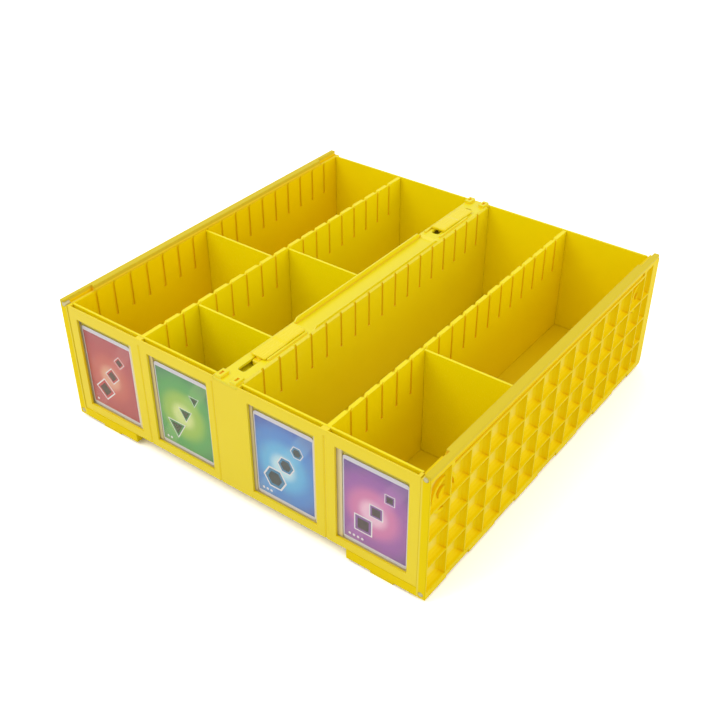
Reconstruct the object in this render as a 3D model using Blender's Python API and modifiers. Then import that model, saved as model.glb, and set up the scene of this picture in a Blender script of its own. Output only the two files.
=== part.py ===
"""Four-row card storage bin: side panels, floor, row walls, centre spine, dividers and labels.

Lengths are in metres. X runs to the right, Y to the rear and Z up. The origin is on the ground,
under the middle of the bin, and the label windows face -Y.
"""

import math

import bmesh
import bpy
from mathutils import Matrix, Vector

# Overall size
BIN_WIDTH = 0.402
BIN_DEPTH = 0.401
COMPARTMENT_DEPTH = 0.1135
RAIL_RISE = 0.0042
DECK_WIDTH = 0.026

# Gaps and overruns
SEAT_GAP = 0.0003
CUT_OVERRUN = 0.002
RUNNING_GAP = 0.0004

# Side panels
SIDE_WALL_THICKNESS = 0.010
POCKET_DEPTH = 0.0075
POCKET_LEVEL_DEPTHS = (0.0027, 0.0052, 0.0068, POCKET_DEPTH)
POCKET_INSET_SHARES = (0.02, 0.08, 0.20, 0.34)
END_POCKET_LENGTH_SHARE = 0.57
END_POCKET_RAMP_SHARES = (0.02, 0.05, 0.07, 0.08)
RIB_THICKNESS = 0.0016
BAY_COUNT = 14
POCKET_ROW_COUNT = 4
BOTTOM_RAIL_HEIGHT = 0.0075
TOP_RIB_DROP = 0.0053
SHORT_BAY_DROP = 0.0018
LINER_DROP = 0.001
RAIL_WIDTH = 0.0083
RAIL_END_WIDTH = 0.005
RAIL_SHOULDER = 0.033
RAIL_EDGE_ROUND = 0.0016
RAIL_REAR_ROUND = 0.0036
RAIL_TIP_ROUND = 0.0023
REAR_FOOT_ROUND = 0.0045
RAIL_GROOVE_HEIGHT = 0.004
RAIL_GROOVE_DEPTH = 0.0012
RAIL_GROOVE_DROP = 0.0013
POST_WIDTH = 0.0085
BOSS_RADIUS = 0.008
BOSS_RING_INNER_RADIUS = 0.014
BOSS_RING_OUTER_RADIUS = 0.0175
BOSS_DEPTH = 0.0042
BOSS_SETBACK = 0.0266
BOSS_RISE = 0.0027
NOTCH_COUNT = 5
NOTCH_LENGTH = 0.034
NOTCH_PITCH = 0.076
NOTCH_HEIGHT = 0.004
NOTCH_DEPTH = 0.0008

# Skids and feet
SKID_WIDTH = 0.078
SKID_HEIGHT = 0.0092
SKID_WALL = 0.002
SKID_BAY_COUNT = 4
FOOT_HEIGHT = 0.0032
FOOT_SIZE = 0.023
FOOT_OFFSET = 0.031
FOOT_SETBACK = 0.001

# Floor
FLOOR_THICKNESS = 0.003
FLOOR_RIB_HEIGHT = 0.0035
FLOOR_RIB_THICKNESS = 0.002
FLOOR_BAY_COLUMNS = 4
FLOOR_BAY_ROWS = 6

# Front and rear walls
PANEL_INSET = 0.0004
PANEL_THICKNESS = 0.0022
POCKET_GAP = 0.0028
INNER_WALL_THICKNESS = 0.002
REAR_INSET = 0.0044
POCKET_MARGIN = 0.0015
POCKET_LEDGE_RISE = 0.005
POCKET_LEAD_IN = 0.0011
WINDOW_SIDE_MARGIN = 0.0085
WINDOW_HEIGHT = 0.0964
WINDOW_TOP_MARGIN = 0.0116
WINDOW_SHIFTS = (0.0, -0.0012, 0.0012, 0.0)
PANEL_GROOVE_WIDTH = 0.0024
PANEL_GROOVE_DEPTH = 0.0008
PANEL_GROOVE_TOP_MARGIN = 0.006

# Row walls and divider slots
ROW_WALL_THICKNESS = 0.004
SLOT_COUNT = 17
SLOT_FRONT_MARGIN = 0.0254
SLOT_REAR_MARGIN = 0.0228
SLOT_WIDTH = 0.0028
SLOT_DEPTH = 0.0012
SLOT_LENGTH = 0.037
SLOT_LEAD_IN = 0.0014
SLOT_LEAD_HEIGHT = 0.0022
ROW_WALL_DROP = 0.0005

# Dividers
DIVIDER_THICKNESS = 0.0022
DIVIDER_DROP = 0.0022
DIVIDER_EDGE_ROUND = 0.0006

# Centre spine
SPINE_WALL_THICKNESS = 0.0024
SPINE_EDGE_WIDTH = 0.0014
SPINE_EDGE_DROP = 0.002
CHANNEL_DEPTH = 0.0025
CHANNEL_FLOOR_THICKNESS = 0.0025
CHANNEL_END_MARGIN = 0.103
CHANNEL_RAIL_WIDTH = 0.0015
CHANNEL_RAIL_RISE = 0.0027
EYELET_LENGTH = 0.0105
EYELET_WIDTH = 0.0065
EYELET_HEIGHT = 0.0026
EYELET_EDGE_MARGIN = 0.0006
EYELET_SIDE_MARGIN = 0.0014
EYELET_SLOT_LENGTH = 0.005
EYELET_SLOT_WIDTH = 0.0024

# Latches
LATCH_SLOT_WIDTH = 0.008
LATCH_SLOT_LENGTH = 0.0715
LATCH_SLOT_MARGIN = 0.0196
LATCH_SLOT_CORNER = 0.0024
REAR_SLOT_SHORTFALL = 0.0052
LATCH_PLATE_WIDTH = 0.015
LATCH_PLATE_LENGTH = 0.054
LATCH_LOW_HEIGHT = 0.003
LATCH_HIGH_HEIGHT = 0.004
LATCH_EDGE_ROUND = 0.0011
LATCH_STEP_START_SHARE = 0.48
LATCH_STEP_END_SHARE = 0.54
LATCH_PLATE_OVERHANG = 0.0043
LATCH_TONGUE_LENGTH = 0.0045
LATCH_TONGUE_DROP = 0.001
LATCH_TONGUE_HEIGHT = 0.004
LATCH_BARB_OVERHANG = 0.0016
LATCH_BARB_LENGTH = 0.008
LATCH_BARB_HEIGHT = 0.0014
LATCH_DECK_THICKNESS = 0.0025
LATCH_SEAT_DEPTH = 0.0064
LATCH_SEAT_WALL = 0.0015
LATCH_RECESS_MARGIN = 0.003
GUIDE_WIDTH = 0.0018
GUIDE_HEIGHT = 0.0016
GUIDE_LENGTH = 0.052
REAR_LATCH_TRAVEL = 0.0106

# Labels
SLEEVE_SIDE_GAP = 0.0039
SLEEVE_SHIFTS = (-0.003, -0.001, 0.0005, 0.0015)
SLEEVE_HEIGHT = 0.1016
SLEEVE_THICKNESS = 0.0016
SLEEVE_SHEET = 0.0004
SLEEVE_BORDER = 0.0032
CARD_SIDE_GAP = 0.0034
CARD_HEIGHT = 0.089
CARD_THICKNESS = 0.0003
CARD_CORNER_RADIUS = 0.003

# Corner pins
PIN_RADIUS = 0.0022
PIN_LENGTH = 0.006
PIN_TOP_DROP = 0.0046
PIN_BOTTOM_RISE = 0.0042
PIN_SOCKET_GAP = 0.0003

# Facets
ROUND_SEGMENTS = 32
PIN_SEGMENTS = 24
ARC_STEPS = 5
LATCH_ROUND_STEPS = 2
SMALL_ARC_STEPS = 3
SMOOTH_ANGLE = math.radians(32.0)
LATCH_ROUND_ANGLE = math.radians(40.0)
FLAT_ANGLE = math.radians(0.5)
WELD_DISTANCE = 0.00003

# Levels above the ground
SKID_TOP_Z = FOOT_HEIGHT + SKID_HEIGHT
FLOOR_BOTTOM_Z = SKID_TOP_Z + SEAT_GAP
FLOOR_TOP_Z = FLOOR_BOTTOM_Z + FLOOR_THICKNESS
STANDING_Z = FLOOR_TOP_Z + SEAT_GAP
DECK_Z = FLOOR_TOP_Z + COMPARTMENT_DEPTH
LINER_TOP_Z = DECK_Z - LINER_DROP
RAIL_TOP_Z = DECK_Z + RAIL_RISE
WAFFLE_BOTTOM_Z = FOOT_HEIGHT + BOTTOM_RAIL_HEIGHT
WAFFLE_TOP_Z = LINER_TOP_Z - TOP_RIB_DROP
SLOT_BOTTOM_Z = DECK_Z - SLOT_LENGTH
CHANNEL_FLOOR_Z = DECK_Z - CHANNEL_DEPTH
SPINE_ROOF_Z = CHANNEL_FLOOR_Z - CHANNEL_FLOOR_THICKNESS
LEDGE_Z = FLOOR_BOTTOM_Z + POCKET_LEDGE_RISE
SLEEVE_BOTTOM_Z = LEDGE_Z + SEAT_GAP

# Places across the bin
HALF_WIDTH = BIN_WIDTH / 2
SIDE_INNER_X = HALF_WIDTH - SIDE_WALL_THICKNESS
DECK_HALF = DECK_WIDTH / 2
ROW_WIDTH = (SIDE_INNER_X - DECK_HALF - ROW_WALL_THICKNESS) / 2
ROW_WALL_INNER_X = DECK_HALF + ROW_WIDTH
ROW_WALL_OUTER_X = ROW_WALL_INNER_X + ROW_WALL_THICKNESS
LABEL_POCKET_WIDTH = ROW_WIDTH - 2 * POCKET_MARGIN
WINDOW_WIDTH = ROW_WIDTH - 2 * WINDOW_SIDE_MARGIN
SLEEVE_WIDTH = LABEL_POCKET_WIDTH - 2 * SLEEVE_SIDE_GAP
CARD_WIDTH = SLEEVE_WIDTH - 2 * SLEEVE_BORDER - 2 * CARD_SIDE_GAP
ROW_CENTRES = (
    -ROW_WALL_OUTER_X - ROW_WIDTH / 2,
    -DECK_HALF - ROW_WIDTH / 2,
    DECK_HALF + ROW_WIDTH / 2,
    ROW_WALL_OUTER_X + ROW_WIDTH / 2,
)

# Places from front to rear
FRONT_Y = -BIN_DEPTH / 2
REAR_Y = BIN_DEPTH / 2
PANEL_FRONT_Y = FRONT_Y + PANEL_INSET
PANEL_BACK_Y = PANEL_FRONT_Y + PANEL_THICKNESS
INNER_WALL_FRONT_Y = PANEL_BACK_Y + POCKET_GAP
INNER_WALL_BACK_Y = INNER_WALL_FRONT_Y + INNER_WALL_THICKNESS
SLEEVE_Y = INNER_WALL_FRONT_Y - SEAT_GAP - SLEEVE_THICKNESS / 2
REAR_WALL_BACK_Y = REAR_Y - REAR_INSET
REAR_WALL_FRONT_Y = REAR_WALL_BACK_Y - INNER_WALL_THICKNESS
ROW_FRONT_Y = INNER_WALL_BACK_Y + SEAT_GAP
ROW_REAR_Y = REAR_WALL_FRONT_Y - SEAT_GAP
FIRST_SLOT_Y = INNER_WALL_BACK_Y + SLOT_FRONT_MARGIN
LAST_SLOT_Y = REAR_WALL_FRONT_Y - SLOT_REAR_MARGIN
SLOT_PITCH = (LAST_SLOT_Y - FIRST_SLOT_Y) / (SLOT_COUNT - 1)

# Row number (0 to 3, left to right) and slot number (0 at the front) of each divider
DIVIDER_PLACES = ((0, 7), (1, 2), (1, 8), (3, 5))

BIN_ROUGHNESS = 0.38
PIN_ROUGHNESS = 0.45
SLEEVE_ROUGHNESS = 0.12
PAPER_ROUGHNESS = 0.5
YELLOW = (0.850, 0.665, 0.012, 1.0)
CREAM = (0.78, 0.70, 0.52, 1.0)
CLEAR = (0.88, 0.88, 0.84, 1.0)
LABEL_COLOURS = (
    (0.75, 0.12, 0.13, 1.0),
    (0.12, 0.50, 0.18, 1.0),
    (0.10, 0.32, 0.75, 1.0),
    (0.36, 0.16, 0.50, 1.0),
)


def clear_scene():
    """Remove every object that the scene starts with."""
    for old in list(bpy.data.objects):
        bpy.data.objects.remove(old, do_unlink=True)


def new_collection(name):
    """Make a collection in the scene."""
    collection = bpy.data.collections.new(name)
    bpy.context.scene.collection.children.link(collection)
    return collection


def plastic(name, colour, roughness):
    """Make a plain Principled material."""
    material = bpy.data.materials.new(name)
    material.use_nodes = True
    shader = material.node_tree.nodes["Principled BSDF"]
    shader.inputs["Base Color"].default_value = colour
    shader.inputs["Roughness"].default_value = roughness
    shader.inputs["Metallic"].default_value = 0.0
    return material


def span_box(spans):
    """Give the size and centre of the box between three (low, high) spans."""
    size = Vector([high - low for low, high in spans])
    centre = Vector([(high + low) / 2 for low, high in spans])
    return size, centre


def add_box(shape, size, centre):
    """Add one box to a bmesh."""
    place = Matrix.Translation(centre) @ Matrix.Diagonal((*size, 1.0))
    return bmesh.ops.create_cube(shape, size=1.0, matrix=place)["verts"]


def ordered(first, second):
    """Put two places in rising order."""
    return (min(first, second), max(first, second))


class Shop:
    """Makes the bin's solids and keeps their cutters apart."""

    def __init__(self):
        self.parts = new_collection("card_storage_bin")
        self.tools = new_collection("cutters")

    def link(self, name, mesh, location=(0.0, 0.0, 0.0)):
        """Put a mesh in the parts collection."""
        part = bpy.data.objects.new(name, mesh)
        part.location = location
        self.parts.objects.link(part)
        return part

    def block(self, name, x_span, y_span, z_span):
        """Make one box, its origin at its centre."""
        size, centre = span_box((x_span, y_span, z_span))
        shape = bmesh.new()
        add_box(shape, size, Vector())
        mesh = bpy.data.meshes.new(name)
        shape.to_mesh(mesh)
        shape.free()
        return self.link(name, mesh, centre)

    def blocks(self, name, boxes):
        """Make several boxes that don't touch as one object."""
        shape = bmesh.new()
        for spans in boxes:
            size, centre = span_box(spans)
            add_box(shape, size, centre)
        mesh = bpy.data.meshes.new(name)
        shape.to_mesh(mesh)
        shape.free()
        return self.link(name, mesh)

    def prism(self, name, outlines, axis, span):
        """Extrude a flat outline, with any holes after it, along one axis."""
        curve = bpy.data.curves.new(name, "CURVE")
        curve.dimensions = "2D"
        curve.fill_mode = "BOTH"
        curve.extrude = (span[1] - span[0]) / 2
        for outline in outlines:
            spline = curve.splines.new("POLY")
            spline.points.add(len(outline) - 1)
            for point, place in zip(spline.points, outline):
                point.co = (place[0], place[1], 0.0, 1.0)
            spline.use_cyclic_u = True
        middle = (span[0] + span[1]) / 2
        turns = {
            "X": Matrix(((0, 0, 1, middle), (1, 0, 0, 0), (0, 1, 0, 0), (0, 0, 0, 1))),
            "Y": Matrix(((1, 0, 0, 0), (0, 0, -1, middle), (0, 1, 0, 0), (0, 0, 0, 1))),
            "Z": Matrix.Translation((0, 0, middle)),
        }
        guide = bpy.data.objects.new(name + "_curve", curve)
        self.tools.objects.link(guide)
        bpy.context.view_layer.update()
        solid = guide.evaluated_get(bpy.context.evaluated_depsgraph_get())
        mesh = bpy.data.meshes.new_from_object(solid)
        bpy.data.objects.remove(guide, do_unlink=True)
        shape = bmesh.new()
        shape.from_mesh(mesh)
        bmesh.ops.remove_doubles(shape, verts=shape.verts, dist=WELD_DISTANCE)
        bmesh.ops.recalc_face_normals(shape, faces=shape.faces)
        bmesh.ops.dissolve_limit(
            shape, angle_limit=FLAT_ANGLE, verts=shape.verts, edges=shape.edges
        )
        shape.transform(turns[axis])
        shape.to_mesh(mesh)
        shape.free()
        mesh.name = name
        return self.link(name, mesh)

    def cylinder(self, name, radius, span, axis, centre, segments=ROUND_SEGMENTS):
        """Make a cylinder along X or Y, with its end faces at the span's ends."""
        middle = (span[0] + span[1]) / 2
        turn = Matrix.Rotation(math.pi / 2, 4, "Y" if axis == "X" else "X")
        place = (middle, *centre) if axis == "X" else (centre[0], middle, centre[1])
        shape = bmesh.new()
        bmesh.ops.create_cone(
            shape, cap_ends=True, segments=segments, radius1=radius, radius2=radius,
            depth=span[1] - span[0], matrix=turn,
        )
        mesh = bpy.data.meshes.new(name)
        shape.to_mesh(mesh)
        shape.free()
        return self.link(name, mesh, place)

    def use(self, target, tool, operation):
        """Cut a tool out of a target, or join it on, and hide the tool."""
        self.parts.objects.unlink(tool)
        self.tools.objects.link(tool)
        tool.hide_render = True
        tool.display_type = "WIRE"
        modifier = target.modifiers.new(tool.name, "BOOLEAN")
        modifier.operation = operation
        modifier.solver = "EXACT"
        modifier.object = tool

    def cut(self, target, tool):
        """Cut a tool out of a target."""
        self.use(target, tool, "DIFFERENCE")

    def join(self, target, tool):
        """Join a tool to a target."""
        self.use(target, tool, "UNION")


def arc(centre, radius, start_deg, end_deg, steps=ARC_STEPS):
    """List the points of an arc in a plane."""
    points = []
    for step in range(steps + 1):
        angle = math.radians(start_deg + (end_deg - start_deg) * step / steps)
        points.append((centre[0] + radius * math.cos(angle), centre[1] + radius * math.sin(angle)))
    return points


def corner_outline(corner, outward, radius):
    """Outline what a round of one radius takes off a corner, in the plane of the round.

    outward gives the two directions, +1 or -1 each, that point out of the corner.
    """
    centre = (corner[0] - outward[0] * radius, corner[1] - outward[1] * radius)
    beyond = (corner[0] + outward[0] * CUT_OVERRUN, corner[1] + outward[1] * CUT_OVERRUN)
    points = [(centre[0] + outward[0] * (place[0] - centre[0]),
               centre[1] + outward[1] * (place[1] - centre[1]))
              for place in arc(centre, radius, 0, 90)]
    return [(beyond[0], centre[1]), *points, (centre[0], beyond[1]), beyond]


def slot_places():
    """List the places along Y of the divider slots."""
    return [FIRST_SLOT_Y + SLOT_PITCH * number for number in range(SLOT_COUNT)]


def slot_outline(y, top):
    """Outline one divider slot in Y and Z, with its flared mouth."""
    half = SLOT_WIDTH / 2
    mouth = half + SLOT_LEAD_IN
    neck = top - SLOT_LEAD_HEIGHT
    return [
        (y - half, SLOT_BOTTOM_Z),
        (y + half, SLOT_BOTTOM_Z),
        (y + half, neck),
        (y + mouth, top),
        (y + mouth, top + CUT_OVERRUN),
        (y - mouth, top + CUT_OVERRUN),
        (y - mouth, top),
        (y - half, neck),
    ]


def plain_slot_outline(y, top):
    """Outline a divider slot with straight sides."""
    half = SLOT_WIDTH / 2
    return [
        (y - half, SLOT_BOTTOM_Z),
        (y + half, SLOT_BOTTOM_Z),
        (y + half, top + CUT_OVERRUN),
        (y - half, top + CUT_OVERRUN),
    ]


def cut_slots(shop, target, name, face_x, inward, outline, top):
    """Cut the row of divider slots into a wall's face.

    face_x is the face, and inward is +1 or -1 along X, into the wall.
    """
    span = ordered(face_x - inward * CUT_OVERRUN, face_x + inward * SLOT_DEPTH)
    outlines = [outline(y, top) for y in slot_places()]
    shop.cut(target, shop.prism(name, outlines, "X", span))


def waffle_boxes():
    """List the pockets of a side panel as (y span, z span, whether it is in the rear bay)."""
    bay = (BIN_DEPTH - RIB_THICKNESS) / BAY_COUNT
    row = (WAFFLE_TOP_Z - WAFFLE_BOTTOM_Z) / POCKET_ROW_COUNT
    boxes = []
    for column in range(BAY_COUNT):
        at_rear = column == BAY_COUNT - 1
        y_low = FRONT_Y + RIB_THICKNESS + bay * column
        y_high = y_low + bay - RIB_THICKNESS
        if at_rear:
            y_high = y_low + (y_high - y_low) * END_POCKET_LENGTH_SHARE
        for level in range(POCKET_ROW_COUNT):
            z_low = WAFFLE_BOTTOM_Z + row * level
            z_high = z_low + row - RIB_THICKNESS
            at_end = at_rear or column == 0
            if at_end and level == POCKET_ROW_COUNT - 1:
                z_high = LINER_TOP_Z - SHORT_BAY_DROP
            boxes.append(((y_low, y_high), (z_low, z_high), at_rear))
    return boxes


def waffle_cutter(shop, side, name):
    """Make the pockets' cutter, each pocket a bowl that narrows towards its bottom.

    The pockets of the rear bay also rise in a ramp towards the bin's rear end.
    """
    shape = bmesh.new()
    for y_span, z_span, at_rear in waffle_boxes():
        x_span = ordered(side * (HALF_WIDTH + CUT_OVERRUN), side * HALF_WIDTH)
        size, centre = span_box((x_span, y_span, z_span))
        corners = add_box(shape, size, centre)
        inner = [corner for corner in corners if (corner.co.x - centre.x) * side < 0]
        face = next(face for face in inner[0].link_faces if set(face.verts) == set(inner))
        starts = [(math.copysign(1, v.co.y - centre.y), math.copysign(1, v.co.z - centre.z))
                  for v in face.verts]
        levels = zip(POCKET_LEVEL_DEPTHS, POCKET_INSET_SHARES, END_POCKET_RAMP_SHARES)
        for depth, inset, ramp in levels:
            grown = bmesh.ops.extrude_discrete_faces(shape, faces=[face])
            face = grown["faces"][0]
            for vert, (along, up) in zip(face.verts, starts):
                rear_inset = ramp * size.y / END_POCKET_LENGTH_SHARE if at_rear and along > 0 else 0.0
                vert.co.x = side * (HALF_WIDTH - depth)
                vert.co.y = centre.y + along * (size.y / 2 - inset * size.y - rear_inset)
                vert.co.z = centre.z + up * (size.z / 2 - inset * size.z)
    mesh = bpy.data.meshes.new(name)
    shape.to_mesh(mesh)
    shape.free()
    return shop.link(name, mesh)


def boss_centres():
    """List the places in Y and Z of the round bosses, near two rib crossings."""
    row = (WAFFLE_TOP_Z - WAFFLE_BOTTOM_Z) / POCKET_ROW_COUNT
    crossing_z = WAFFLE_BOTTOM_Z + row * (POCKET_ROW_COUNT - 1) - RIB_THICKNESS / 2
    y = REAR_Y - BOSS_SETBACK
    z = crossing_z + BOSS_RISE
    return ((-y, z), (y, z))


def pin_levels():
    """List the corner pins' levels above the ground with their names, top pin first."""
    return (
        ("upper", RAIL_TOP_Z - PIN_TOP_DROP),
        ("lower", FOOT_HEIGHT + PIN_BOTTOM_RISE),
    )


def side_panel(shop, side, name):
    """Make a waffle side wall with its top rail, front post, skid and feet."""
    def x(depth):
        """Place along X of a depth in from the outer face."""
        return side * (HALF_WIDTH - depth)

    edge_x = HALF_WIDTH - RAIL_EDGE_ROUND
    edge_z = RAIL_TOP_Z - RAIL_EDGE_ROUND
    profile = [(HALF_WIDTH, FOOT_HEIGHT)]
    profile += arc((edge_x, edge_z), RAIL_EDGE_ROUND, 0, 90)
    profile += [
        (SIDE_INNER_X, RAIL_TOP_Z),
        (SIDE_INNER_X, SKID_TOP_Z),
        (HALF_WIDTH - SKID_WIDTH, SKID_TOP_Z),
        (HALF_WIDTH - SKID_WIDTH, FOOT_HEIGHT),
    ]
    profile = [(side * px, pz) for px, pz in profile]
    panel = shop.prism(name, [profile], "Y", (FRONT_Y, REAR_Y))

    shoulder = REAR_Y - RAIL_SHOULDER
    relief = [
        (x(SIDE_WALL_THICKNESS + CUT_OVERRUN), FRONT_Y - CUT_OVERRUN),
        (x(RAIL_END_WIDTH), FRONT_Y - CUT_OVERRUN),
        (x(RAIL_END_WIDTH), -shoulder),
        (x(RAIL_WIDTH), -shoulder),
        (x(RAIL_WIDTH), shoulder),
        (x(RAIL_END_WIDTH), shoulder),
        (x(RAIL_END_WIDTH), REAR_Y + CUT_OVERRUN),
        (x(SIDE_WALL_THICKNESS + CUT_OVERRUN), REAR_Y + CUT_OVERRUN),
    ]
    relief_span = (LINER_TOP_Z, RAIL_TOP_Z + CUT_OVERRUN)
    shop.cut(panel, shop.prism(name + "_rail_relief", [relief], "Z", relief_span))

    cut_slots(shop, panel, name + "_slots", side * SIDE_INNER_X, side, slot_outline, LINER_TOP_Z)

    pockets = waffle_cutter(shop, side, name + "_pockets")
    for number, centre in enumerate(boss_centres()):
        span = ordered(x(BOSS_DEPTH), x(POCKET_DEPTH + CUT_OVERRUN))
        ring = shop.cylinder(f"{name}_ring_{number}", BOSS_RING_OUTER_RADIUS, span, "X", centre)
        moat_span = ordered(x(0), x(POCKET_DEPTH + 2 * CUT_OVERRUN))
        moat = shop.cylinder(
            f"{name}_moat_{number}", BOSS_RING_INNER_RADIUS, moat_span, "X", centre
        )
        shop.cut(ring, moat)
        boss = shop.cylinder(f"{name}_boss_{number}", BOSS_RADIUS, span, "X", centre)
        shop.cut(pockets, ring)
        shop.cut(pockets, boss)
    shop.cut(panel, pockets)

    groove_top = DECK_Z - RAIL_GROOVE_DROP
    outer_cuts = [(
        ordered(x(-CUT_OVERRUN), x(RAIL_GROOVE_DEPTH)),
        (-shoulder, shoulder),
        (groove_top - RAIL_GROOVE_HEIGHT, groove_top),
    )]
    for number in range(NOTCH_COUNT):
        y = NOTCH_PITCH * (number - (NOTCH_COUNT - 1) / 2)
        outer_cuts.append((
            ordered(x(-CUT_OVERRUN), x(NOTCH_DEPTH)),
            (y - NOTCH_LENGTH / 2, y + NOTCH_LENGTH / 2),
            (FOOT_HEIGHT - CUT_OVERRUN, FOOT_HEIGHT + NOTCH_HEIGHT),
        ))
    shop.cut(panel, shop.blocks(name + "_outer_cuts", outer_cuts))

    rebate = shop.block(
        name + "_panel_rebate",
        ordered(x(POST_WIDTH), x(SIDE_WALL_THICKNESS + CUT_OVERRUN)),
        (FRONT_Y - CUT_OVERRUN, INNER_WALL_FRONT_Y),
        (SKID_TOP_Z, RAIL_TOP_Z + CUT_OVERRUN),
    )
    shop.cut(panel, rebate)

    upper = corner_outline((REAR_Y, RAIL_TOP_Z), (1, 1), RAIL_REAR_ROUND)
    lower = corner_outline((REAR_Y, FOOT_HEIGHT), (1, -1), REAR_FOOT_ROUND)
    corner_span = ordered(x(-CUT_OVERRUN), x(SIDE_WALL_THICKNESS - SEAT_GAP))
    shop.cut(panel, shop.prism(name + "_rear_corners", [upper, lower], "X", corner_span))
    outer_tip = corner_outline((x(0), REAR_Y), (side, 1), RAIL_TIP_ROUND)
    inner_tip = corner_outline((x(RAIL_END_WIDTH), REAR_Y), (-side, 1), RAIL_TIP_ROUND)
    shop.cut(panel, shop.prism(name + "_rail_tip", [outer_tip, inner_tip], "Z", relief_span))

    hollow = ordered(x(SIDE_WALL_THICKNESS + SKID_WALL), x(SKID_WIDTH - SKID_WALL))
    bay = (BIN_DEPTH - SKID_WALL) / SKID_BAY_COUNT
    bays = []
    for number in range(SKID_BAY_COUNT):
        low = FRONT_Y + SKID_WALL + bay * number
        low_z = FOOT_HEIGHT - CUT_OVERRUN
        bays.append((hollow, (low, low + bay - SKID_WALL), (low_z, SKID_TOP_Z - SKID_WALL)))
    shop.cut(panel, shop.blocks(name + "_skid_bays", bays))

    foot_x = ordered(x(FOOT_OFFSET), x(FOOT_OFFSET + FOOT_SIZE))
    foot_z = (0.0, SKID_TOP_Z - SKID_WALL / 2)
    front_foot = (FRONT_Y + FOOT_SETBACK, FRONT_Y + FOOT_SETBACK + FOOT_SIZE)
    rear_foot = (-front_foot[1], -front_foot[0])
    feet = shop.blocks(name + "_feet", [(foot_x, front_foot, foot_z), (foot_x, rear_foot, foot_z)])
    shop.join(panel, feet)

    socket_span = (FRONT_Y - CUT_OVERRUN, FRONT_Y + PIN_LENGTH + PIN_SOCKET_GAP)
    for height, level in pin_levels():
        socket = shop.cylinder(
            f"{name}_{height}_socket", PIN_RADIUS + PIN_SOCKET_GAP, socket_span, "Y",
            (x(POST_WIDTH / 2), level), PIN_SEGMENTS,
        )
        shop.cut(panel, socket)
    return panel


def corner_pin(shop, side, level, name):
    """Make one pin in the end of a front post, its origin at its own centre."""
    place = (side * (HALF_WIDTH - POST_WIDTH / 2), level)
    span = (FRONT_Y, FRONT_Y + PIN_LENGTH)
    return shop.cylinder(name, PIN_RADIUS, span, "Y", place, PIN_SEGMENTS)


def base_floor(shop):
    """Make the floor plate with its ribs between the skids."""
    half_x = SIDE_INNER_X - SEAT_GAP
    y_span = (INNER_WALL_FRONT_Y, REAR_WALL_BACK_Y)
    floor = shop.block(
        "base_floor", (-half_x, half_x), y_span, (FLOOR_BOTTOM_Z, FLOOR_TOP_Z)
    )
    rib_half_x = HALF_WIDTH - SKID_WIDTH - SKID_WALL
    grid_z = (FLOOR_BOTTOM_Z - FLOOR_RIB_HEIGHT, FLOOR_BOTTOM_Z + FLOOR_THICKNESS / 2)
    grid = shop.block("floor_ribs", (-rib_half_x, rib_half_x), y_span, grid_z)
    column = (2 * rib_half_x - FLOOR_RIB_THICKNESS) / FLOOR_BAY_COLUMNS
    row = (y_span[1] - y_span[0] - FLOOR_RIB_THICKNESS) / FLOOR_BAY_ROWS
    bays = []
    for across in range(FLOOR_BAY_COLUMNS):
        low_x = -rib_half_x + FLOOR_RIB_THICKNESS + column * across
        for along in range(FLOOR_BAY_ROWS):
            low_y = y_span[0] + FLOOR_RIB_THICKNESS + row * along
            bays.append((
                (low_x, low_x + column - FLOOR_RIB_THICKNESS),
                (low_y, low_y + row - FLOOR_RIB_THICKNESS),
                (grid_z[0] - CUT_OVERRUN, FLOOR_BOTTOM_Z),
            ))
    shop.cut(grid, shop.blocks("floor_bays", bays))
    shop.join(floor, grid)
    return floor


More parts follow.
